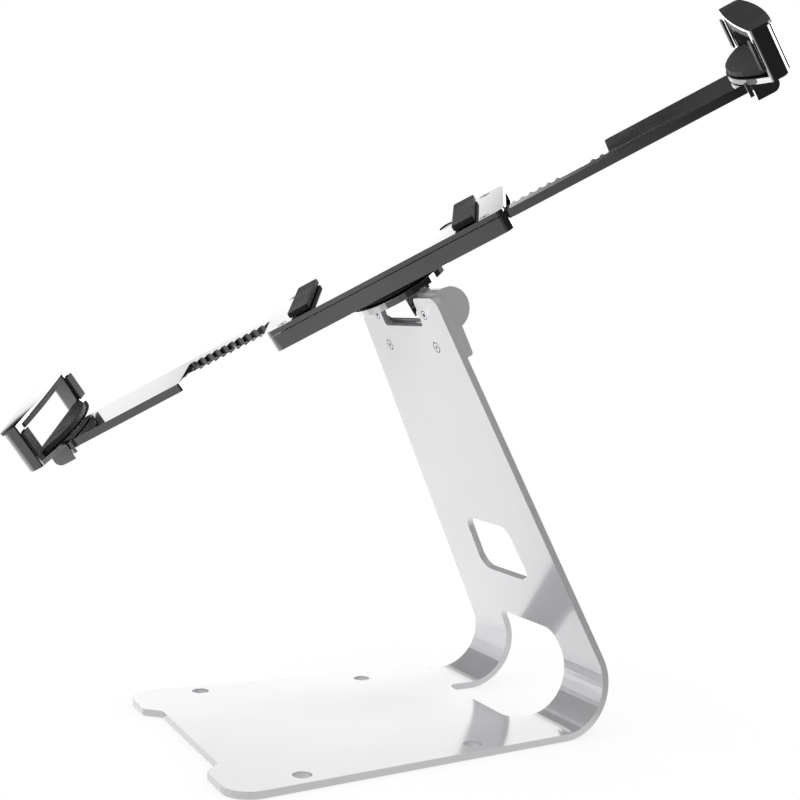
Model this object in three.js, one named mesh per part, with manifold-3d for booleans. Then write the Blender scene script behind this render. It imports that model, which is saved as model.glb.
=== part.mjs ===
// Tablet stand: a bent sheet-steel foot carries a friction tilt hinge, a swivel and a
// self-centring two-corner grip that clasps a tablet by opposite corners.
// Millimetres. +Z is up, the user sits on the -Y side, +X is the user's right.
// The origin is on the underside of the foot, in the middle of its four screw holes.

import * as THREE from 'three';
import { mergeVertices } from 'three/addons/utils/BufferGeometryUtils.js';
import Module from 'manifold-3d';

const wasm = await Module();
wasm.setup();

// ---------------------------------------------------------------- driving dimensions

const GAP = 0.3; // air left between two pieces that touch
const DEG = Math.PI / 180;

// bent sheet foot, measured along the flat blank from the middle of the screw holes
const sheet = {
  thickness: 2.3,
  halfWidth: 51.4, // at the middle of the screw holes
  taper: 5.5 * DEG, // each long edge leans in towards the top of the upright
  frontReach: 55.3, // from the hole pattern to the front edge
  bendStart: 64.4, // from the hole pattern to the start of the bend
  bendRadius: 15.3, // inside
  uprightAngle: 63.7 * DEG, // between the foot and the upright
  frontCorner: 9,
  topCorner: 4,
};
const frontNotch = { depth: 5.3, halfWidth: 29, flank: 5, corner: 2.2 };
const screwHole = { pitch: 61, edge: 6.6, radius: 3 };
const bendWindow = { start: 56, length: 48.3, margin: 23.3, corner: 5 };
const uprightWindow = { above: 25.2, length: 21.6, margin: 23.1, corner: 5 };

// tilt hinge, on the back of the upright near its top
const hinge = {
  height: 127.1, // axis, along the upright from the end of the bend
  setback: 5.5, // axis behind the front face of the upright
  knuckleRadius: 7.1,
  pinRadius: 2,
  pinPlay: 0.25,
  barrelRadius: 4.6,
  halfWidth: 26.5,
  gapHalfWidth: 13.3, // room between the two fixed knuckles
  washer: 0.8,
};
const bracket = { plate: 4.5, drop: 17.2, chamfer: 1, saddle: 5.2, endWall: 3 };
const topNotch = { halfWidth: 14, below: 4.1, rise: 6, corner: 1.5 };
const bracketScrew = { x: 17.3, drop: 11.6, radius: 1.1, headRadius: 1.7, headDepth: 0.9, length: 5.6 };
const lockScrew = { x: 17.6, radius: 1.3, socketDepth: 1.2 };
const socketShare = 0.62; // key socket of a screw against its thread

// tilt arm and swivel, heights measured from the tilt axis along the tablet's normal
const restTilt = 35 * DEG;
const arm = { halfWidth: 10, halfDepth: 5, flangeBottom: 8.6, flange: 2.3, flangeRadius: 19 };
const swivel = {
  washer: 0.6,
  washerRadius: 17,
  boltRadius: 2.5,
  boltPlay: 0.3,
  boltEnd: 3.4, // lower end of the bolt above the tilt axis
  headRadius: 4.5,
  head: 2.2,
};

// grip: x runs along the diagonal bars, y across them
const gripTurn = 55 * DEG; // of the bars about the swivel, from the user's right
const tabletThickness = 9.6; // with a little play
const bar = { halfWidth: 11.5, thickness: 3, reach: 134, shoulder: 81.5, legTip: 41, corner: 1.2 };
const channel = { halfLength: 45, floor: 2.2, wall: 4, cover: 1.7, corner: 3 };
const coverScrew = { inset: 7, radius: 1.1, headRadius: 1.6, length: 5 };
const pad = { thickness: 1.9, inset: 1.5 };
const gear = {
  module: 1,
  teeth: 12,
  pressureAngle: 20 * DEG,
  dedendum: 1.25, // root depth in modules
  offset: 24,
  backlash: 0.19,
  journal: 3.5,
  topJournal: 2.5,
  keyFlat: 3, // across the flats of the key socket
  keyDepth: 3,
  stem: 1.8, // stem below the channel's floor
};

// corner hooks
const hook = {
  innerFace: 132.4, // inner face of the posts from the swivel axis
  postDepth: 7,
  postOuter: 28, // outer sides of the two posts from the middle of the bar
  postWidth: 5.5,
  postCorner: 3.2,
  postRound: 3.4, // upright edge of each post on the outer side
  postInnerRound: 1.6, // upright edge of each post towards the middle
  postEase: 0.9, // upright edges of each post on the tablet's side
  capBulgeOut: 1.5,
  capBulgeIn: 1,
  cap: 0.9,
  capPad: 1.9,
  capPadInset: 0.15,
  capEase: 0.6,
  footBulge: 8.3,
  heelStart: 128.2,
  heelEnd: 136,
  heelHeight: 6.5,
  heelWall: 1.7,
  heelCorner: 2.6,
  postPad: 0.8,
};
const clip = { width: 1.4, wall: 1.2 }; // spring clip that stops the hook creeping along the bar
const hookScrew = { x: 131.2, y: 6, radius: 1.5, headRadius: 2.4, headDepth: 1.1, length: 4.2 };

// ---------------------------------------------------------------- derived places

const bendAngle = Math.PI - sheet.uprightAngle;
const bendLength = (sheet.bendRadius + sheet.thickness / 2) * bendAngle;
const uprightStart = sheet.bendStart + bendLength;
const bracketFront = -hinge.setback + sheet.thickness + GAP;
const bracketBack = bracketFront + bracket.plate;

const channelFloor = arm.flangeBottom + arm.flange + GAP + swivel.washer + GAP;
const barBottom = channelFloor + channel.floor + GAP;
const barTop = barBottom + bar.thickness;
const coverBottom = barTop + GAP;
const coverTop = coverBottom + channel.cover;
const padBottom = coverTop + GAP;
const padTop = padBottom + pad.thickness;
const capPadBottom = padTop + tabletThickness;
const capBottom = capPadBottom + hook.capPad + GAP;
const capTop = capBottom + hook.cap;
const pitchRadius = (gear.module * gear.teeth) / 2;

// ---------------------------------------------------------------- materials

function material(name, color, roughness, metalness) {
  const made = new THREE.MeshStandardMaterial({ color, roughness, metalness });
  made.name = name;
  return made;
}
const paint = () => material('white_paint', 0xf2f3f5, 0.25, 0);
const chrome = () => material('polished_chrome', 0xd8dadc, 0.08, 1);
const rubber = () => material('grey_rubber', 0x8d8f93, 0.8, 0);
const grip = () => material('black_rubber', 0x1b1b1d, 0.8, 0);
const steel = () => material('zinc_steel', 0xb4b7ba, 0.35, 1);
const nylon = () => material('black_nylon', 0x26272a, 0.55, 0);

// ---------------------------------------------------------------- shape helpers

// Outline through corners [x, y, radius], each rounded by an arc.
function roundedOutline(corners, steps = 6) {
  const points = [];
  corners.forEach(([x, y, radius], i) => {
    const here = new THREE.Vector2(x, y);
    const before = corners[(i + corners.length - 1) % corners.length];
    const after = corners[(i + 1) % corners.length];
    const toBefore = new THREE.Vector2(before[0], before[1]).sub(here).normalize();
    const toAfter = new THREE.Vector2(after[0], after[1]).sub(here).normalize();
    if (!radius) {
      points.push(here);
      return;
    }
    const half = Math.acos(THREE.MathUtils.clamp(toBefore.dot(toAfter), -1, 1)) / 2;
    const middle = toBefore.clone().add(toAfter).normalize();
    const centre = here.clone().addScaledVector(middle, radius / Math.sin(half));
    const tangent = radius / Math.tan(half);
    const start = here.clone().addScaledVector(toBefore, tangent).sub(centre);
    const end = here.clone().addScaledVector(toAfter, tangent).sub(centre);
    const turn = Math.atan2(start.cross(end), start.dot(end));
    for (let k = 0; k <= steps; k += 1) {
      points.push(start.clone().rotateAround(new THREE.Vector2(), (turn * k) / steps).add(centre));
    }
  });
  return points;
}

function circle(x, y, radius, sides = 24) {
  return Array.from({ length: sides }, (_, k) => {
    const angle = (2 * Math.PI * k) / sides;
    return new THREE.Vector2(x + radius * Math.cos(angle), y + radius * Math.sin(angle));
  });
}

// Prism over an outline in XY from z0 to z1.
function prism(points, z0, z1, holes = []) {
  const shape = new THREE.Shape(points);
  shape.holes = holes.map((hole) => new THREE.Path(hole));
  const geometry = new THREE.ExtrudeGeometry(shape, { depth: z1 - z0, bevelEnabled: false });
  return geometry.translate(0, 0, z0);
}

// Prism over an outline in YZ from x0 to x1.
function prismAlongX(points, x0, x1) {
  const turn = new THREE.Matrix4().makeBasis(
    new THREE.Vector3(0, 1, 0),
    new THREE.Vector3(0, 0, 1),
    new THREE.Vector3(1, 0, 0),
  );
  return prism(points, x0, x1).applyMatrix4(turn);
}

// Prism over an outline in XZ (given as x, z) from y0 to y1.
function prismAlongY(points, y0, y1) {
  const turn = new THREE.Matrix4().makeBasis(
    new THREE.Vector3(1, 0, 0),
    new THREE.Vector3(0, 0, 1),
    new THREE.Vector3(0, -1, 0),
  );
  return prism(points, -y1, -y0).applyMatrix4(turn);
}

function box(x0, x1, y0, y1, z0, z1) {
  const geometry = new THREE.BoxGeometry(x1 - x0, y1 - y0, z1 - z0);
  return geometry.translate((x0 + x1) / 2, (y0 + y1) / 2, (z0 + z1) / 2);
}

function rod(x, y, radius, z0, z1, sides = 24) {
  return prism(circle(x, y, radius, sides), z0, z1);
}

// Screw along +Z with its countersunk head at the top, at z = 0.
function countersunkScrew({ radius, headRadius, headDepth, length }) {
  const profile = [
    [0, -length],
    [radius, -length],
    [radius, -headDepth],
    [headRadius, 0],
    [0, 0],
  ].map(([r, z]) => new THREE.Vector2(r, z));
  const body = new THREE.LatheGeometry(profile, 16).rotateX(Math.PI / 2);
  const socket = prism(circle(0, 0, radius * socketShare, 6), -headDepth, GAP);
  return cut(body, [socket]);
}

function toSolid(geometry) {
  const bare = geometry.clone();
  bare.deleteAttribute('normal');
  bare.deleteAttribute('uv');
  const merged = mergeVertices(bare, 1e-4);
  const mesh = new wasm.Mesh({
    numProp: 3,
    vertProperties: new Float32Array(merged.attributes.position.array),
    triVerts: new Uint32Array(merged.index.array),
  });
  return new wasm.Manifold(mesh);
}

function toGeometry(solid) {
  const { vertProperties, triVerts } = solid.getMesh();
  const geometry = new THREE.BufferGeometry();
  geometry.setAttribute('position', new THREE.BufferAttribute(new Float32Array(vertProperties), 3));
  geometry.setIndex(Array.from(triVerts));
  geometry.computeVertexNormals();
  return geometry;
}

function join(geometries) {
  return toGeometry(geometries.map(toSolid).reduce((whole, next) => whole.add(next)));
}

function cut(geometry, tools) {
  return toGeometry(tools.map(toSolid).reduce((whole, tool) => whole.subtract(tool), toSolid(geometry)));
}

function common(first, second) {
  return toGeometry(toSolid(first).intersect(toSolid(second)));
}

function piece(name, geometry, made) {
  const mesh = new THREE.Mesh(geometry, made);
  mesh.name = name;
  return mesh;
}

// ---------------------------------------------------------------- bent sheet foot

const edgeAt = (u) => sheet.halfWidth - u * Math.tan(sheet.taper);

// Window whose long sides run parallel to the edges of the blank.
function windowOutline(start, { length, margin, corner }) {
  const low = edgeAt(start) - margin;
  const high = edgeAt(start + length) - margin;
  return roundedOutline([
    [-low, start, corner],
    [low, start, corner],
    [high, start + length, corner],
    [-high, start + length, corner],
  ]);
}

// Corners of the seam between two stretches of the blank, on both sides of the bend window.
const seamAt = (u) => [edgeAt(u), edgeAt(u) - bendWindow.margin];

// Flat foot, up to the start of the bend.
function footOutline() {
  const front = -sheet.frontReach;
  const notchFloor = front + frontNotch.depth;
  const end = sheet.bendStart;
  const [edge, inner] = seamAt(end);
  const low = edgeAt(bendWindow.start) - bendWindow.margin;
  return roundedOutline([
    [-edgeAt(front), front, sheet.frontCorner],
    [-frontNotch.halfWidth - frontNotch.flank, front, frontNotch.corner],
    [-frontNotch.halfWidth, notchFloor, frontNotch.corner],
    [frontNotch.halfWidth, notchFloor, frontNotch.corner],
    [frontNotch.halfWidth + frontNotch.flank, front, frontNotch.corner],
    [edgeAt(front), front, sheet.frontCorner],
    [edge, end, 0],
    [inner, end, 0],
    [low, bendWindow.start, bendWindow.corner],
    [-low, bendWindow.start, bendWindow.corner],
    [-inner, end, 0],
    [-edge, end, 0],
  ]);
}

// Flat upright, from the end of the bend to the top.
function uprightOutline() {
  const top = uprightStart + hinge.height + topNotch.rise;
  const seat = uprightStart + hinge.height - topNotch.below;
  const [edge, inner] = seamAt(uprightStart);
  const windowEnd = bendWindow.start + bendWindow.length;
  const high = edgeAt(windowEnd) - bendWindow.margin;
  return roundedOutline([
    [edge, uprightStart, 0],
    [edgeAt(top), top, sheet.topCorner],
    [topNotch.halfWidth, top, topNotch.corner],
    [topNotch.halfWidth, seat, topNotch.corner],
    [-topNotch.halfWidth, seat, topNotch.corner],
    [-topNotch.halfWidth, top, topNotch.corner],
    [-edgeAt(top), top, sheet.topCorner],
    [-edge, uprightStart, 0],
    [-inner, uprightStart, 0],
    [-high, windowEnd, bendWindow.corner],
    [high, windowEnd, bendWindow.corner],
    [inner, uprightStart, 0],
  ]);
}

function footHoles() {
  return [-screwHole.pitch / 2, screwHole.pitch / 2].flatMap((u) => {
    const x = edgeAt(u) - screwHole.edge;
    return [circle(-x, u, screwHole.radius), circle(x, u, screwHole.radius)];
  });
}

function uprightHoles() {
  const axis = uprightStart + hinge.height;
  const screwRadius = bracketScrew.headRadius + GAP;
  const lockRadius = lockScrew.radius + GAP;
  const ends = [-1, 1].flatMap((side) => [
    circle(side * bracketScrew.x, axis - bracketScrew.drop, screwRadius, 16),
    circle(side * lockScrew.x, axis, lockRadius, 16),
  ]);
  return [windowOutline(uprightStart + uprightWindow.above, uprightWindow), ...ends];
}

// Corner points, three to a triangle, of one stretch of the blank. The faces on its seams
// are left out, so that the next stretch carries on from them.
function stretch(outline, seams, holes = []) {
  const flat = prism(outline, 0, sheet.thickness, holes).attributes.position;
  const points = [];
  for (let i = 0; i < flat.count; i += 3) {
    const triangle = [i, i + 1, i + 2].map((k) => [flat.getX(k), flat.getY(k), flat.getZ(k)]);
    const onSeam = seams.some((u) => triangle.every((corner) => Math.abs(corner[1] - u) < 1e-3));
    if (!onSeam) points.push(...triangle);
  }
  return points;
}

// Carries a point of the flat blank (x, along, height above the underside) to its bent place.
function bend([x, u, h]) {
  if (u <= sheet.bendStart) return [x, u, h];
  const radius = sheet.bendRadius + sheet.thickness - h;
  const centreZ = sheet.bendRadius + sheet.thickness;
  const angle = Math.min((u - sheet.bendStart) / bendLength, 1) * bendAngle;
  const past = Math.max(u - uprightStart, 0);
  const y = sheet.bendStart + radius * Math.sin(angle) + past * Math.cos(bendAngle);
  const z = centreZ - radius * Math.cos(angle) + past * Math.sin(bendAngle);
  return [x, y, z];
}

function standPlate() {
  const points = [
    ...stretch(footOutline(), [sheet.bendStart], footHoles()),
    ...stretch(uprightOutline(), [uprightStart], uprightHoles()),
  ];
  const steps = 20;
  const levels = Array.from({ length: steps + 1 }, (_, k) => sheet.bendStart + (bendLength * k) / steps);
  for (let k = 0; k < steps; k += 1) {
    const [low, high] = [levels[k], levels[k + 1]];
    const [lowEdge, lowInner] = seamAt(low);
    const [highEdge, highInner] = seamAt(high);
    const band = [[lowInner, low], [lowEdge, low], [highEdge, high], [highInner, high]];
    for (const side of [-1, 1]) {
      const outline = band.map(([x, u]) => new THREE.Vector2(side * x, u));
      points.push(...stretch(outline, [low, high]));
    }
  }
  const bent = new THREE.BufferGeometry();
  const numbers = new Float32Array(points.flatMap(bend));
  bent.setAttribute('position', new THREE.BufferAttribute(numbers, 3));
  return toGeometry(toSolid(bent));
}

// ---------------------------------------------------------------- tilt hinge
// In the hinge frame z runs up the upright, y backwards from it, and x along the axis.

function hingeBracket() {
  const plate = roundedOutline([
    [bracketFront, -bracket.drop, 0],
    [bracketBack, -bracket.drop, bracket.chamfer],
    [bracketBack, 0, 0],
    [bracketFront, 0, 0],
  ]);
  const whole = join([
    prismAlongX(plate, -hinge.halfWidth, hinge.halfWidth),
    prismAlongX(circle(0, 0, hinge.knuckleRadius, 40), -hinge.halfWidth, hinge.halfWidth),
  ]);
  const reach = hinge.knuckleRadius + 1;
  const boreRadius = hinge.pinRadius + hinge.pinPlay;
  const tools = [
    box(-hinge.halfWidth - 1, hinge.halfWidth + 1, -2 * reach, bracketFront, -reach, reach),
    box(-hinge.gapHalfWidth, hinge.gapHalfWidth, -reach, reach, -bracket.saddle, reach),
    prismAlongX(circle(0, 0, boreRadius), -hinge.halfWidth - 1, hinge.halfWidth - bracket.endWall),
  ];
  for (const side of [-1, 1]) {
    const screwBore = rod(0, 0, bracketScrew.radius + GAP, -1, bracket.plate + 1, 16);
    screwBore.rotateX(-Math.PI / 2).translate(side * bracketScrew.x, bracketFront, -bracketScrew.drop);
    const lockBore = rod(0, 0, lockScrew.radius + GAP, -1, -bracketFront, 16);
    lockBore.rotateX(-Math.PI / 2).translate(side * lockScrew.x, bracketFront, 0);
    tools.push(screwBore, lockBore);
  }
  return cut(whole, tools);
}

function hingePin() {
  const end = hinge.halfWidth - bracket.endWall - GAP;
  return prismAlongX(circle(0, 0, hinge.pinRadius), -hinge.halfWidth + GAP, end);
}

function frictionWasher(side) {
  const inner = hinge.gapHalfWidth - GAP - hinge.washer;
  const outer = hinge.gapHalfWidth - GAP;
  const [x0, x1] = side > 0 ? [inner, outer] : [-outer, -inner];
  const bore = prismAlongX(circle(0, 0, hinge.pinRadius + hinge.pinPlay), x0 - 1, x1 + 1);
  return cut(prismAlongX(circle(0, 0, hinge.barrelRadius - GAP), x0, x1), [bore]);
}

function lockScrewBody() {
  const front = -hinge.setback;
  const tip = -(hinge.pinRadius + GAP);
  const body = rod(0, 0, lockScrew.radius, 0, tip - front, 16);
  const socket = prism(circle(0, 0, lockScrew.radius * socketShare, 6), -1, lockScrew.socketDepth);
  return cut(body, [socket]).rotateX(-Math.PI / 2).translate(0, front, 0);
}

function tiltArm() {
  const barrelHalf = hinge.gapHalfWidth - hinge.washer - 2 * GAP;
  const flangeTop = arm.flangeBottom + arm.flange;
  const whole = join([
    prismAlongX(circle(0, 0, hinge.barrelRadius, 32), -barrelHalf, barrelHalf),
    box(-arm.halfWidth, arm.halfWidth, -arm.halfDepth, arm.halfDepth, 0, arm.flangeBottom + 1),
    rod(0, 0, arm.flangeRadius, arm.flangeBottom, flangeTop, 48),
  ]);
  return cut(whole, [
    prismAlongX(circle(0, 0, hinge.pinRadius + hinge.pinPlay), -barrelHalf - 1, barrelHalf + 1),
    rod(0, 0, swivel.boltRadius + swivel.boltPlay, swivel.boltEnd - GAP, flangeTop + 1),
  ]);
}

// ---------------------------------------------------------------- swivel

function swivelWasher() {
  const bottom = arm.flangeBottom + arm.flange + GAP;
  const hole = circle(0, 0, swivel.boltRadius + swivel.boltPlay);
  return prism(circle(0, 0, swivel.washerRadius, 40), bottom, bottom + swivel.washer, [hole]);
}

function swivelBolt() {
  const body = join([
    rod(0, 0, swivel.boltRadius, swivel.boltEnd, barBottom + 1),
    rod(0, 0, swivel.headRadius, barBottom, barBottom + swivel.head),
  ]);
  const socket = prism(circle(0, 0, swivel.boltRadius, 6), barBottom + 0.6, barBottom + swivel.head + 1);
  return cut(body, [socket]);
}

// ---------------------------------------------------------------- self-centring grip

const channelHalfWidth = bar.halfWidth + GAP + channel.wall;

function plateOutline(halfLength, halfWidth, corner) {
  return roundedOutline([
    [-halfLength, -halfWidth, corner],
    [halfLength, -halfWidth, corner],
    [halfLength, halfWidth, corner],
    [-halfLength, halfWidth, corner],
  ]);
}

// Places of the four cover screws.
const coverScrewPlaces = [-1, 1].flatMap((end) =>
  [-1, 1].map((side) => [
    end * (channel.halfLength - coverScrew.inset),
    side * (channelHalfWidth - channel.wall / 2),
  ]),
);

function gripChannel() {
  const outline = plateOutline(channel.halfLength, channelHalfWidth, channel.corner);
  const room = bar.halfWidth + GAP;
  const length = channel.halfLength + 1;
  const tools = [
    box(-length, length, -room, room, barBottom - GAP, barTop + 1),
    rod(0, 0, swivel.boltRadius + swivel.boltPlay, channelFloor - 1, barBottom),
    rod(gear.offset, 0, gear.journal + GAP, channelFloor - 1, barBottom),
  ];
  for (const [x, y] of coverScrewPlaces) {
    tools.push(rod(x, y, coverScrew.radius + GAP / 2, coverTop - coverScrew.length - GAP, barTop + 1, 12));
  }
  return cut(prism(outline, channelFloor, barTop), tools);
}

function gripCover() {
  const outline = plateOutline(channel.halfLength, channelHalfWidth, channel.corner);
  const holes = [circle(gear.offset, 0, gear.topJournal + GAP)];
  for (const [x, y] of coverScrewPlaces) holes.push(circle(x, y, coverScrew.headRadius + GAP / 2, 16));
  return prism(outline, coverBottom, coverTop, holes);
}

// Rubber strip on the cover, at one end of it.
function centrePad(end) {
  const inner = gear.offset + gear.topJournal + 2 * GAP;
  const outer = channel.halfLength - coverScrew.inset - coverScrew.headRadius - pad.inset;
  const halfWidth = channelHalfWidth - pad.inset;
  const middle = (end * (inner + outer)) / 2;
  return prism(plateOutline((outer - inner) / 2, halfWidth, 1), padBottom, padTop).translate(middle, 0, 0);
}

const involute = (angle) => Math.tan(angle) - angle;

// Outline of the adjuster gear: involute flanks thinned by the backlash, one tooth on +Y.
function gearOutline() {
  const pressure = gear.pressureAngle;
  const base = pitchRadius * Math.cos(pressure);
  const tip = pitchRadius + gear.module;
  const root = pitchRadius - gear.dedendum * gear.module;
  const halfAtPitch = (Math.PI * gear.module) / 4 - gear.backlash;
  const halfAngle = (radius) => {
    const flank = Math.acos(Math.min(base / radius, 1));
    return halfAtPitch / pitchRadius + involute(pressure) - involute(flank);
  };
  const radii = [root, base, (base + tip) / 2, tip];
  const points = [];
  for (let k = 0; k < gear.teeth; k += 1) {
    const middle = Math.PI / 2 + (2 * Math.PI * k) / gear.teeth;
    const rising = radii.map((radius) => [radius, middle - halfAngle(Math.max(radius, base))]);
    const falling = radii.map((radius) => [radius, middle + halfAngle(Math.max(radius, base))]).reverse();
    for (const [radius, angle] of [...rising, ...falling]) {
      points.push(new THREE.Vector2(radius * Math.cos(angle), radius * Math.sin(angle)));
    }
  }
  return points;
}

function adjusterGear() {
  const stemEnd = barBottom - GAP - channel.floor - gear.stem;
  const body = join([
    prism(gearOutline(), barBottom, barTop),
    rod(0, 0, gear.journal, stemEnd, barBottom + 1),
    rod(0, 0, gear.topJournal, barTop - 1, coverTop - GAP),
  ]);
  const keyRadius = gear.keyFlat / Math.sqrt(3);
  const key = prism(circle(0, 0, keyRadius, 6), stemEnd - 1, stemEnd + gear.keyDepth);
  return cut(body, [key]).translate(gear.offset, 0, 0);
}

// Edge of a rack from one x to another: teeth point towards the middle of the grip and
// a gap between two teeth always faces the gear.
function rackEdge(from, to) {
  const pitch = Math.PI * gear.module;
  const slope = Math.tan(gear.pressureAngle);
  const halfAtPitch = pitch / 4 - gear.backlash;
  const tipY = pitchRadius - gear.module;
  const rootY = pitchRadius + gear.dedendum * gear.module;
  const halfTip = halfAtPitch - gear.module * slope;
  const halfRoot = halfAtPitch + gear.dedendum * gear.module * slope;
  const first = Math.ceil((from - gear.offset) / pitch) + 0.5;
  const points = [];
  for (let k = first; gear.offset + k * pitch + halfRoot < to; k += 1) {
    const x = gear.offset + k * pitch;
    points.push([x - halfRoot, rootY], [x - halfTip, tipY], [x + halfTip, tipY], [x + halfRoot, rootY]);
  }
  return points;
}

// One sliding bar. The upper bar's rack lies on the -Y side of the gear and the lower
// bar, half a turn round, has its rack on the +Y side.
function slidingBar(side) {
  const rootY = pitchRadius + gear.dedendum * gear.module;
  const rack = side > 0
    ? rackEdge(-bar.legTip + 1, bar.shoulder - 1)
    : rackEdge(-bar.shoulder + 1, bar.legTip - 1).map(([x, y]) => [-x, y]).reverse();
  const corners = [
    [-bar.legTip, -bar.halfWidth, bar.corner],
    [bar.reach, -bar.halfWidth, bar.corner],
    [bar.reach, bar.halfWidth, bar.corner],
    [bar.shoulder, bar.halfWidth, bar.corner],
    [bar.shoulder, -rootY, bar.corner],
    ...rack.reverse().map(([x, y]) => [x, -y, 0]),
    [-bar.legTip, -rootY, 0],
  ];
  const clearance = hookScrew.radius + GAP / 2;
  const holes = [-1, 1].map((way) => circle(hookScrew.x, way * hookScrew.y, clearance, 16));
  const geometry = prism(roundedOutline(corners, 4), barBottom, barTop, holes);
  return side > 0 ? geometry : geometry.rotateZ(Math.PI);
}

// ---------------------------------------------------------------- corner hooks

// Outline between two bulging sides that meet the posts: an arc on the inner side, an arc
// on the outer side and straight ends.
function lensOutline(inner, outer, halfLength, bulgeIn, bulgeOut, corner) {
  const side = (x, bulge, way) => {
    const steps = bulge ? 10 : 1;
    return Array.from({ length: steps + 1 }, (_, k) => {
      const share = (2 * k) / steps - 1;
      const y = way * share * (halfLength - corner);
      return new THREE.Vector2(x + bulge * (1 - share * share), y);
    });
  };
  return [
    ...side(outer, bulgeOut, 1),
    new THREE.Vector2(outer - corner, halfLength),
    new THREE.Vector2(inner + corner, halfLength),
    ...side(inner, -bulgeIn, -1),
    new THREE.Vector2(inner + corner, -halfLength),
    new THREE.Vector2(outer - corner, -halfLength),
  ];
}

const hookOuter = hook.innerFace + hook.postDepth;
const heelHalfWidth = bar.halfWidth + GAP + hook.heelWall;

function hookPost(way) {
  const profile = roundedOutline([
    [hook.innerFace, coverBottom, 0],
    [hookOuter, coverBottom, hook.postCorner],
    [hookOuter, capTop, hook.capEase],
    [hook.innerFace, capTop, 0],
  ]);
  const inside = hook.postOuter - hook.postWidth;
  const across = roundedOutline([
    [hook.innerFace, inside, hook.postEase],
    [hookOuter, inside, hook.postInnerRound],
    [hookOuter, hook.postOuter, hook.postRound],
    [hook.innerFace, hook.postOuter, hook.postEase],
  ]);
  const upright = across.map((point) => new THREE.Vector2(point.x, way * point.y));
  const column = prism(upright, coverBottom - 1, capTop + 1);
  return common(prismAlongY(profile, -hook.postOuter - 1, hook.postOuter + 1), column);
}

function hookHeel() {
  const profile = roundedOutline([
    [hook.heelStart, coverBottom - hook.heelHeight, 0],
    [hook.heelEnd, coverBottom - hook.heelHeight, hook.heelCorner],
    [hook.heelEnd, coverBottom + 1, 0],
    [hook.heelStart, coverBottom + 1, 0],
  ]);
  const room = bar.halfWidth + GAP;
  const pocket = box(hook.heelStart - 1, bar.reach + GAP, -room, room, 0, coverBottom);
  return cut(prismAlongY(profile, -heelHalfWidth, heelHalfWidth), [pocket]);
}

function hookFoot() {
  const outer = hookOuter - hook.postCorner;
  const outline = lensOutline(hook.innerFace, outer, hook.postOuter, hook.footBulge, 0, 1);
  return prism(outline, coverBottom, coverTop);
}

function gripHook() {
  const bulges = [hook.capBulgeIn, hook.capBulgeOut];
  const capOutline = lensOutline(hook.innerFace, hookOuter, hook.postOuter, ...bulges, 1.2);
  const whole = join([
    prism(capOutline, capBottom, capTop),
    hookPost(1),
    hookPost(-1),
    hookFoot(),
    hookHeel(),
  ]);
  const seats = [-1, 1].map((way) =>
    rod(hookScrew.x, way * hookScrew.y, hookScrew.headRadius + GAP / 2, coverBottom - 1, coverTop + 1, 16),
  );
  return cut(whole, seats);
}

// U-shaped clip round the bar, just inside the heel.
function barClip() {
  const end = hook.heelStart - GAP;
  const start = end - clip.width;
  const room = bar.halfWidth + GAP;
  const side = room + clip.wall;
  const bottom = barBottom - GAP - clip.wall;
  const passage = box(start - 1, end + 1, -room, room, barBottom - GAP, barTop + 1);
  return cut(box(start, end, -side, side, bottom, barTop), [passage]);
}

function capPad() {
  const outline = lensOutline(
    hook.innerFace + hook.capPadInset,
    hookOuter - hook.capPadInset,
    hook.postOuter - hook.postWidth - GAP,
    hook.capBulgeIn,
    hook.capBulgeOut,
    1,
  );
  return prism(outline, capPadBottom, capPadBottom + hook.capPad);
}

function footPad() {
  const outline = lensOutline(
    hook.innerFace - 1,
    hookOuter - hook.postCorner - pad.inset,
    hook.postOuter - hook.postWidth - GAP,
    hook.footBulge - pad.inset,
    0,
    0.8,
  );
  return prism(outline, padBottom, padTop);
}

function postPad(way) {
  const x0 = hook.innerFace - GAP - hook.postPad;
  const x1 = hook.innerFace - GAP;
  const y0 = hook.postOuter - hook.postWidth;
  const range = way > 0 ? [y0, hook.postOuter] : [-hook.postOuter, -y0];
  return box(x0, x1, ...range, padTop, capPadBottom);
}

// ---------------------------------------------------------------- assembly

const object = new THREE.Group();
object.add(piece('stand_plate', standPlate(), paint()));

const axisPlace = bend([0, uprightStart + hinge.height, sheet.thickness]);
const axisY = axisPlace[1] + hinge.setback * Math.sin(bendAngle);
const axisZ = axisPlace[2] - hinge.setback * Math.cos(bendAngle);

const hingeFrame = new THREE.Group();
hingeFrame.position.set(0, axisY, axisZ);
hingeFrame.rotation.x = Math.PI / 2 - sheet.uprightAngle;
object.add(hingeFrame);

hingeFrame.add(piece('hinge_bracket', hingeBracket(), paint()));
hingeFrame.add(piece('hinge_pin', hingePin(), steel()));
for (const [label, side] of [['left', -1], ['right', 1]]) {
  const screw = piece(`bracket_screw_${label}`, countersunkScrew(bracketScrew), paint());
  screw.rotation.x = Math.PI / 2;
  screw.position.set(side * bracketScrew.x, -hinge.setback, -bracketScrew.drop);
  const lock = piece(`pin_lock_screw_${label}`, lockScrewBody(), steel());
  lock.position.x = side * lockScrew.x;
  hingeFrame.add(screw, lock);
  hingeFrame.add(piece(`friction_washer_${label}`, frictionWasher(side), nylon()));
}

const tiltFrame = new THREE.Group();
tiltFrame.position.copy(hingeFrame.position);
tiltFrame.rotation.x = restTilt;
object.add(tiltFrame);
tiltFrame.add(piece('tilt_arm', tiltArm(), chrome()));
tiltFrame.add(piece('swivel_washer', swivelWasher(), nylon()));
tiltFrame.add(piece('swivel_bolt', swivelBolt(), steel()));

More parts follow.
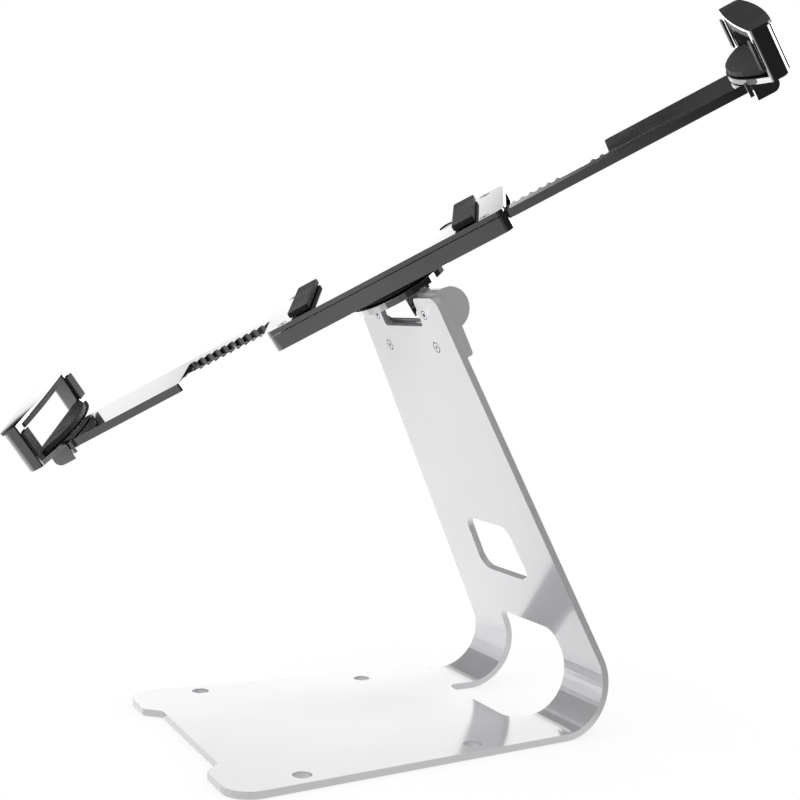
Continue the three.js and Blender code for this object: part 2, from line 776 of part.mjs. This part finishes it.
const gripFrame = new THREE.Group();
gripFrame.rotation.z = gripTurn;
tiltFrame.add(gripFrame);
gripFrame.add(piece('grip_channel', gripChannel(), chrome()));
gripFrame.add(piece('grip_cover', gripCover(), chrome()));
gripFrame.add(piece('centre_pad_upper', centrePad(1), grip()));
gripFrame.add(piece('centre_pad_lower', centrePad(-1), grip()));
gripFrame.add(piece('adjuster_gear', adjusterGear(), steel()));
coverScrewPlaces.forEach(([x, y], i) => {
  const screw = { ...coverScrew, headDepth: channel.cover - GAP };
  const made = piece(`cover_screw_${i + 1}`, countersunkScrew(screw), steel());
  made.position.set(x, y, coverTop);
  gripFrame.add(made);
});

for (const [label, side] of [['upper', 1], ['lower', -1]]) {
  gripFrame.add(piece(`grip_bar_${label}`, slidingBar(side), chrome()));
  const end = new THREE.Group();
  end.rotation.z = side > 0 ? 0 : Math.PI;
  gripFrame.add(end);
  end.add(piece(`grip_hook_${label}`, gripHook(), chrome()));
  end.add(piece(`bar_clip_${label}`, barClip(), chrome()));
  end.add(piece(`cap_pad_${label}`, capPad(), rubber()));
  end.add(piece(`foot_pad_${label}`, footPad(), grip()));
  for (const [edge, way] of [['a', 1], ['b', -1]]) {
    end.add(piece(`post_pad_${label}_${edge}`, postPad(way), grip()));
    const screw = piece(`hook_screw_${label}_${edge}`, countersunkScrew(hookScrew), steel());
    screw.position.set(hookScrew.x, way * hookScrew.y, coverTop);
    end.add(screw);
  }
}

export default object;
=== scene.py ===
import math

import bpy
from mathutils import Matrix, Vector

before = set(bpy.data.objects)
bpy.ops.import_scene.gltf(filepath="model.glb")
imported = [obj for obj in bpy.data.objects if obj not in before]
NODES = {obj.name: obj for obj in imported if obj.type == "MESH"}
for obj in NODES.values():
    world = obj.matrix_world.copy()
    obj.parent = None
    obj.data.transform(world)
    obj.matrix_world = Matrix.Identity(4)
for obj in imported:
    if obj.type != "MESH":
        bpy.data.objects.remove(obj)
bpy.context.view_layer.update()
MM = 0.001


# ---------------------------------------------------------------- camera

EYE = Vector((0.4032, -0.1800, 0.1365))
LOOK = Vector((-0.8919, 0.4484, -0.0597)).normalized()
ROLL = math.radians(1.40)
LENS = 59.94


def make_camera():
    data = bpy.data.cameras.new("stand_camera")
    data.lens = LENS
    data.sensor_width = 36
    data.clip_start = 0.01
    data.clip_end = 50
    camera = bpy.data.objects.new("stand_camera", data)
    level = LOOK.cross(Vector((0, 0, 1))).normalized()
    above = level.cross(LOOK)
    across = level * math.cos(ROLL) + above * math.sin(ROLL)
    up = across.cross(LOOK)
    turn = Matrix((across, up, -LOOK)).transposed().to_4x4()
    camera.matrix_world = Matrix.Translation(EYE) @ turn
    bpy.context.collection.objects.link(camera)
    bpy.context.scene.camera = camera


# ---------------------------------------------------------------- node helpers


def new_material(name):
    made = bpy.data.materials.new(name)
    made.use_nodes = True
    made.node_tree.nodes.clear()
    return made, made.node_tree.nodes, made.node_tree.links


def principled(nodes, links, **values):
    shader = nodes.new("ShaderNodeBsdfPrincipled")
    out = nodes.new("ShaderNodeOutputMaterial")
    links.new(shader.outputs[0], out.inputs["Surface"])
    for socket, value in values.items():
        shader.inputs[socket.replace("_", " ")].default_value = value
    return shader


def make_group(name, inputs, outputs):
    group = bpy.data.node_groups.new(name, "ShaderNodeTree")
    for label, default in inputs.items():
        socket = group.interface.new_socket(label, in_out="INPUT", socket_type="NodeSocketFloat")
        socket.default_value = default
    for label in outputs:
        group.interface.new_socket(label, in_out="OUTPUT", socket_type="NodeSocketFloat")
    start = group.nodes.new("NodeGroupInput")
    end = group.nodes.new("NodeGroupOutput")
    return group, start, end


def place_group(nodes, group, **values):
    placed = nodes.new("ShaderNodeGroup")
    placed.node_tree = group
    for socket, value in values.items():
        placed.inputs[socket].default_value = value
    return placed


def math_node(nodes, links, operation, first, second):
    node = nodes.new("ShaderNodeMath")
    node.operation = operation
    for socket, value in zip(node.inputs, (first, second)):
        if isinstance(value, (int, float)):
            socket.default_value = value
        else:
            links.new(value, socket)
    return node.outputs[0]


# ---------------------------------------------------------------- shared effects


def skin_texture_group():
    """Fine waviness of a sprayed, cast or moulded skin: a height, and a slow mottling."""
    group, start, end = make_group(
        "skin_texture", {"Scale": 900.0, "Mottle_Scale": 35.0}, ["Height", "Mottle"]
    )
    nodes, links = group.nodes, group.links
    place = nodes.new("ShaderNodeTexCoord").outputs["Object"]
    for label, detail, output in (("Scale", 2.0, "Height"), ("Mottle_Scale", 4.0, "Mottle")):
        noise = nodes.new("ShaderNodeTexNoise")
        noise.inputs["Detail"].default_value = detail
        links.new(place, noise.inputs["Vector"])
        links.new(start.outputs[label], noise.inputs["Scale"])
        links.new(noise.outputs["Fac"], end.inputs[output])
    return group


def fine_wear_group():
    """Handling marks: hairline scratches in a stretched noise, and patches of light smearing."""
    group, start, end = make_group(
        "fine_wear", {"Scratch_Scale": 260.0, "Smear_Scale": 28.0}, ["Scratches", "Smears"]
    )
    nodes, links = group.nodes, group.links
    place = nodes.new("ShaderNodeTexCoord").outputs["Object"]
    stretch = nodes.new("ShaderNodeMapping")
    stretch.inputs["Scale"].default_value = (1.0, 0.06, 1.0)
    stretch.inputs["Rotation"].default_value = (0.3, 0.2, 0.6)
    links.new(place, stretch.inputs["Vector"])
    hair = nodes.new("ShaderNodeTexNoise")
    hair.inputs["Detail"].default_value = 6
    links.new(stretch.outputs[0], hair.inputs["Vector"])
    links.new(start.outputs["Scratch_Scale"], hair.inputs["Scale"])
    ramp = nodes.new("ShaderNodeMapRange")
    ramp.inputs["From Min"].default_value = 0.62
    ramp.inputs["From Max"].default_value = 0.72
    links.new(hair.outputs["Fac"], ramp.inputs["Value"])
    links.new(ramp.outputs[0], end.inputs["Scratches"])
    smear = nodes.new("ShaderNodeTexNoise")
    smear.inputs["Detail"].default_value = 3
    links.new(place, smear.inputs["Vector"])
    links.new(start.outputs["Smear_Scale"], smear.inputs["Scale"])
    links.new(smear.outputs["Fac"], end.inputs["Smears"])
    return group


SKIN = skin_texture_group()
WEAR = fine_wear_group()


def add_bump(nodes, links, shader, height, strength, distance):
    bump = nodes.new("ShaderNodeBump")
    bump.inputs["Strength"].default_value = strength
    bump.inputs["Distance"].default_value = distance
    links.new(height, bump.inputs["Height"])
    links.new(bump.outputs[0], shader.inputs["Normal"])


def vary(nodes, links, value, low, high, socket):
    spread = nodes.new("ShaderNodeMapRange")
    spread.inputs["From Min"].default_value = 0.3
    spread.inputs["From Max"].default_value = 0.7
    spread.inputs["To Min"].default_value = low
    spread.inputs["To Max"].default_value = high
    links.new(value, spread.inputs["Value"])
    links.new(spread.outputs[0], socket)


def tint(nodes, links, value, dark, light, socket):
    mix = nodes.new("ShaderNodeMix")
    mix.data_type = "RGBA"
    mix.inputs[6].default_value = (*dark, 1)
    mix.inputs[7].default_value = (*light, 1)
    spread = nodes.new("ShaderNodeMapRange")
    spread.inputs["From Min"].default_value = 0.3
    spread.inputs["From Max"].default_value = 0.7
    links.new(value, spread.inputs["Value"])
    links.new(spread.outputs[0], mix.inputs[0])
    links.new(mix.outputs[2], socket)


# ---------------------------------------------------------------- materials


def white_gloss_coat():
    """White powder coat under a clear gloss, with a faint orange-peel."""
    made, nodes, links = new_material("white_gloss_coat")
    shader = principled(
        nodes,
        links,
        Metallic=0.15,
        Specular_IOR_Level=0.0,
        Coat_Weight=1.0,
        Coat_Roughness=0.11,
        Coat_IOR=1.5,
    )
    skin = place_group(nodes, SKIN, Scale=700.0, Mottle_Scale=30.0)
    low, high = (0.80, 0.80, 0.82), (0.84, 0.84, 0.86)
    tint(nodes, links, skin.outputs["Mottle"], low, high, shader.inputs["Base Color"])
    vary(nodes, links, skin.outputs["Mottle"], 0.09, 0.14, shader.inputs["Roughness"])
    add_bump(nodes, links, shader, skin.outputs["Height"], 0.04, 0.00004)
    return made


def mirror_chrome():
    """Polished chrome plate with hairline handling marks."""
    made, nodes, links = new_material("mirror_chrome")
    shader = principled(nodes, links, Metallic=1.0, Specular_IOR_Level=0.5)
    wear = place_group(nodes, WEAR, Scratch_Scale=300.0, Smear_Scale=60.0)
    low, high = (0.44, 0.445, 0.45), (0.50, 0.50, 0.505)
    tint(nodes, links, wear.outputs["Smears"], low, high, shader.inputs["Base Color"])
    vary(nodes, links, wear.outputs["Smears"], 0.04, 0.10, shader.inputs["Roughness"])
    add_bump(nodes, links, shader, wear.outputs["Scratches"], 0.05, 0.00002)
    return made


def soft_rubber(name, dark, light):
    """Moulded rubber with a matt, slightly grainy skin."""
    made, nodes, links = new_material(name)
    shader = principled(nodes, links, Specular_IOR_Level=0.35, Sheen_Weight=0.15, Sheen_Roughness=0.6)
    skin = place_group(nodes, SKIN, Scale=1500.0, Mottle_Scale=90.0)
    tint(nodes, links, skin.outputs["Mottle"], dark, light, shader.inputs["Base Color"])
    vary(nodes, links, skin.outputs["Mottle"], 0.50, 0.65, shader.inputs["Roughness"])
    add_bump(nodes, links, shader, skin.outputs["Height"], 0.25, 0.00002)
    return made


def zinc_steel():
    """Bright zinc plate of the screws, pin, bolt and gear."""
    made, nodes, links = new_material("zinc_steel")
    shader = principled(nodes, links, Metallic=1.0)
    wear = place_group(nodes, WEAR, Scratch_Scale=500.0, Smear_Scale=120.0)
    low, high = (0.52, 0.53, 0.56), (0.66, 0.67, 0.68)
    tint(nodes, links, wear.outputs["Smears"], low, high, shader.inputs["Base Color"])
    vary(nodes, links, wear.outputs["Smears"], 0.18, 0.32, shader.inputs["Roughness"])
    add_bump(nodes, links, shader, wear.outputs["Scratches"], 0.12, 0.00003)
    return made


def black_nylon():
    """Turned nylon of the washers."""
    made, nodes, links = new_material("black_nylon")
    shader = principled(nodes, links, IOR=1.53)
    skin = place_group(nodes, SKIN, Scale=1800.0, Mottle_Scale=80.0)
    low, high = (0.018, 0.018, 0.02), (0.03, 0.03, 0.033)
    tint(nodes, links, skin.outputs["Mottle"], low, high, shader.inputs["Base Color"])
    vary(nodes, links, skin.outputs["Mottle"], 0.4, 0.55, shader.inputs["Roughness"])
    add_bump(nodes, links, shader, skin.outputs["Height"], 0.2, 0.00005)
    return made


# ---------------------------------------------------------------- finishing CAD nodes


def ease_edges(node, width, segments=3, angle=28):
    """Rounds the real edges of a node and smooths its shading, leaving its mesh alone."""
    thing = NODES[node]
    weld = thing.modifiers.new("weld", "WELD")
    weld.merge_threshold = 2e-6
    flats = thing.modifiers.new("flats", "DECIMATE")
    flats.decimate_type = "DISSOLVE"
    flats.angle_limit = math.radians(0.4)
    bevel = thing.modifiers.new("eased_edges", "BEVEL")
    bevel.width = width
    bevel.segments = segments
    bevel.limit_method = "ANGLE"
    bevel.angle_limit = math.radians(angle)
    bevel.harden_normals = True
    bevel.use_clamp_overlap = True


def finish_nodes():
    coat = white_gloss_coat()
    chrome = mirror_chrome()
    # the cap pad's dark grey rubber is a real pad, and its darkness also stands in for a dark
    # reflection along the chrome cap's side: partly a painted reflection
    cap_rubber_and_reflection = soft_rubber(
        "dark_rubber_and_painted_reflection", (0.020, 0.021, 0.024), (0.032, 0.033, 0.038)
    )
    black = soft_rubber("black_rubber", (0.012, 0.012, 0.013), (0.022, 0.022, 0.024))
    steel = zinc_steel()
    nylon = black_nylon()
    finishes = (
        ("stand_plate", coat, 0.35),
        ("hinge_bracket", coat, 1.5),
        ("tilt_arm", chrome, 0.4),
        ("bracket_screw", coat, 0.12),
        ("grip_bar", chrome, 0.3),
        ("grip_hook", chrome, 0.3),
        ("grip_channel", chrome, 0.4),
        ("grip_cover", chrome, 0.3),
        ("bar_clip", chrome, 0.15),
        ("cap_pad", cap_rubber_and_reflection, 0.25),
        ("foot_pad", black, 0.35),
        ("post_pad", black, 0.3),
        ("centre_pad", black, 0.4),
        ("friction_washer", nylon, 0.1),
        ("swivel_washer", nylon, 0.12),
        ("hinge_pin", steel, 0.25),
        ("pin_lock_screw", steel, 0.15),
        ("swivel_bolt", steel, 0.3),
        ("adjuster_gear", steel, 0.1),
        ("cover_screw", steel, 0.12),
        ("hook_screw", steel, 0.15),
    )
    for name, thing in NODES.items():
        found = [(m, w) for start, m, w in finishes if name.startswith(start)]
        material, width = found[0]
        for slot in thing.material_slots:
            slot.material = material
        ease_edges(name, width * MM)


# ---------------------------------------------------------------- room

BACKDROP = Vector((LOOK.x, LOOK.y, 0)).normalized()  # from the viewer towards the backdrop
PANEL = Vector((-0.75, 0.66, 0)).normalized()  # towards the tall bright panel
PANEL_LIGHT = 2.5
SWEEP_LIGHT = 1.75  # the low sweep of the backdrop, all the way across
# FLOOR_LIGHT, FLOOR_NEAR_LIGHT, FLOOR_FADE, FLOOR_EDGE and FLOOR_POOL set the floor's painted glow,
# seen only in reflections
FLOOR_LIGHT = 1.9  # the far floor
ROOM_LIGHT = 0.03
CEILING_LIGHT = 0.22
FLOOR_NEAR_LIGHT = 0.22
FLOOR_FADE = (0.15, 0.55)  # the near floor grows dark between these distances
FILL_LIGHT = 0.22  # even light on every side
FLOOR_RADIUS = 8
FLOOR_SIDES = 96
FLOOR_HEIGHT = -0.0003
FLOOR_COLOUR = (0.85, 0.85, 0.85, 1)
# FLOOR_SHADE and SHADOW_REACH set a painted contact shadow: white emission darkened by ambient
# occlusion
FLOOR_SHADE = 0.86  # darkest of the contact shadow
SHADOW_REACH = 0.09
FLOOR_EDGE = (-0.12, 0.12)  # the far floor grows bright across this band
FLOOR_POOL = (0.10, 0.16)  # the lit floor round the foot ends between these
FLOOR_POOL_LIGHT = 1.4


def smooth_step(nodes, links, value, low, high):
    step = nodes.new("ShaderNodeMapRange")
    step.interpolation_type = "SMOOTHSTEP"
    step.inputs["From Min"].default_value = low
    step.inputs["From Max"].default_value = high
    links.new(value, step.inputs["Value"])
    return step.outputs[0]


def dot_with(nodes, links, vector, direction):
    dot = nodes.new("ShaderNodeVectorMath")
    dot.operation = "DOT_PRODUCT"
    dot.inputs[1].default_value = direction
    links.new(vector, dot.inputs[0])
    return dot.outputs["Value"]


def emitter(nodes, links, kind, value, factor):
    """Plain light whose strength is value times factor."""
    shader = nodes.new(kind)
    strength = math_node(nodes, links, "MULTIPLY", value, factor)
    links.new(strength, shader.inputs["Strength"])
    return shader.outputs[0]


def choose(nodes, links, ray, otherwise, chosen):
    mix = nodes.new("ShaderNodeMixShader")
    links.new(ray, mix.inputs[0])
    links.new(otherwise, mix.inputs[1])
    links.new(chosen, mix.inputs[2])
    return mix.outputs[0]


def make_floor():
    """Pale sweep: white where it is looked at, with a soft contact shadow under the foot painted from
    ambient occlusion, and a painted glow that only reflections see, bright far off and pooled round
    the foot.
    """
    mesh = bpy.data.meshes.new("pale_floor")
    turns = [2 * math.pi * k / FLOOR_SIDES for k in range(FLOOR_SIDES)]
    rim = [(FLOOR_RADIUS * math.cos(t), FLOOR_RADIUS * math.sin(t), FLOOR_HEIGHT) for t in turns]
    mesh.from_pydata(rim, [], [range(FLOOR_SIDES)])
    floor = bpy.data.objects.new("pale_floor", mesh)
    bpy.context.collection.objects.link(floor)
    made, nodes, links = new_material("pale_floor")
    ray = nodes.new("ShaderNodeLightPath").outputs
    place = nodes.new("ShaderNodeNewGeometry").outputs["Position"]
    shade = nodes.new("ShaderNodeAmbientOcclusion")
    shade.inputs["Distance"].default_value = SHADOW_REACH
    shade.samples = 8
    lit = nodes.new("ShaderNodeMapRange")
    lit.inputs["To Min"].default_value = FLOOR_SHADE
    lit.inputs["To Max"].default_value = 1.0
    links.new(shade.outputs["AO"], lit.inputs["Value"])
    # the floor as the camera sees it: white light darkened by ambient occlusion, a painted contact
    # shadow
    seen = emitter(nodes, links, "ShaderNodeEmission", lit.outputs[0], 1.0)
    # the floor as reflections see it: a painted glow, bright on the far side, pooled round the foot
    # and dim close by
    far = smooth_step(nodes, links, dot_with(nodes, links, place, BACKDROP), *FLOOR_EDGE)
    reach = nodes.new("ShaderNodeVectorMath")
    reach.operation = "LENGTH"
    links.new(place, reach.inputs[0])
    near = smooth_step(nodes, links, reach.outputs["Value"], FLOOR_POOL[1], FLOOR_POOL[0])
    lit_near = math_node(nodes, links, "MULTIPLY", near, FLOOR_POOL_LIGHT)
    lit_far = math_node(nodes, links, "MULTIPLY", far, FLOOR_LIGHT)
    reflected_glow = math_node(nodes, links, "MAXIMUM", lit_far, lit_near)
    fall = smooth_step(nodes, links, reach.outputs["Value"], FLOOR_FADE[1], FLOOR_FADE[0])
    fall = math_node(nodes, links, "MULTIPLY", fall, FLOOR_NEAR_LIGHT)
    reflected_glow = math_node(nodes, links, "MAXIMUM", reflected_glow, fall)
    reflected_glow = math_node(nodes, links, "MAXIMUM", reflected_glow, ROOM_LIGHT)
    mirrored = emitter(nodes, links, "ShaderNodeEmission", reflected_glow, 1.0)
    plain = nodes.new("ShaderNodeBsdfDiffuse")
    plain.inputs["Color"].default_value = FLOOR_COLOUR
    mixed = choose(nodes, links, ray["Is Glossy Ray"], plain.outputs[0], mirrored)
    mixed = choose(nodes, links, ray["Is Camera Ray"], mixed, seen)
    out = nodes.new("ShaderNodeOutputMaterial")
    links.new(mixed, out.inputs["Surface"])
    floor.data.materials.append(made)




def make_world():
    """Bright backdrop behind the stand and a dim room round the viewer; plain white when looked at."""
    world = bpy.data.worlds.new("studio")
    world.use_nodes = True
    nodes, links = world.node_tree.nodes, world.node_tree.links
    nodes.clear()
    place = nodes.new("ShaderNodeTexCoord").outputs["Generated"]
    height = dot_with(nodes, links, place, (0, 0, 1))
    across = smooth_step(nodes, links, dot_with(nodes, links, place, PANEL), 0.66, 0.84)
    below = smooth_step(nodes, links, height, 0.50, 0.40)
    panel = math_node(nodes, links, "MULTIPLY", across, below)
    panel = math_node(nodes, links, "MULTIPLY", panel, PANEL_LIGHT)
    behind = smooth_step(nodes, links, dot_with(nodes, links, place, BACKDROP), 0.0, 0.35)
    low = smooth_step(nodes, links, height, 0.38, 0.27)
    sweep = math_node(nodes, links, "MULTIPLY", behind, low)
    sweep = math_node(nodes, links, "MULTIPLY", sweep, SWEEP_LIGHT)
    level = math_node(nodes, links, "MAXIMUM", panel, sweep)
    ceiling = smooth_step(nodes, links, height, 0.30, 0.85)
    ceiling = math_node(nodes, links, "MULTIPLY", ceiling, CEILING_LIGHT)
    level = math_node(nodes, links, "MAXIMUM", level, ceiling)
    level = math_node(nodes, links, "MAXIMUM", level, ROOM_LIGHT)
    studio = emitter(nodes, links, "ShaderNodeBackground", level, 1.0)
    even = nodes.new("ShaderNodeBackground")
    even.inputs[0].default_value = (1, 1, 1, 1)
    even.inputs[1].default_value = FILL_LIGHT
    plain = nodes.new("ShaderNodeBackground")
    plain.inputs[0].default_value = (1, 1, 1, 1)
    ray = nodes.new("ShaderNodeLightPath").outputs
    mixed = choose(nodes, links, ray["Is Diffuse Ray"], studio, even.outputs[0])
    mixed = choose(nodes, links, ray["Is Camera Ray"], mixed, plain.outputs[0])
    out = nodes.new("ShaderNodeOutputWorld")
    links.new(mixed, out.inputs[0])
    bpy.context.scene.world = world


def add_softbox(name, place, aim, size, power):
    data = bpy.data.lights.new(name, "AREA")
    data.shape = "RECTANGLE"
    data.size, data.size_y = size
    data.energy = power
    lamp = bpy.data.objects.new(name, data)
    lamp.location = place
    lamp.rotation_euler = (Vector(aim) - Vector(place)).to_track_quat("-Z", "Y").to_euler()
    bpy.context.collection.objects.link(lamp)


AIM = (0, 0, 0.12)  # what the side boxes look at


def make_lights():
    add_softbox("overhead_softbox", (0.1, -0.1, 1.5), (0, 0, 0.1), (0.9, 0.9), 0.5)
    add_softbox("left_softbox", (0.1, -1.3, 0.6), AIM, (0.6, 0.9), 4.3)
    add_softbox("right_softbox", (0.8, 1.0, 0.5), AIM, (0.3, 1.0), 2.6)
    add_softbox("back_softbox", (-0.3, 1.2, 0.9), AIM, (0.6, 0.6), 5)


make_camera()
finish_nodes()
make_floor()
make_world()
make_lights()
bpy.context.scene.view_settings.view_transform = "Standard"
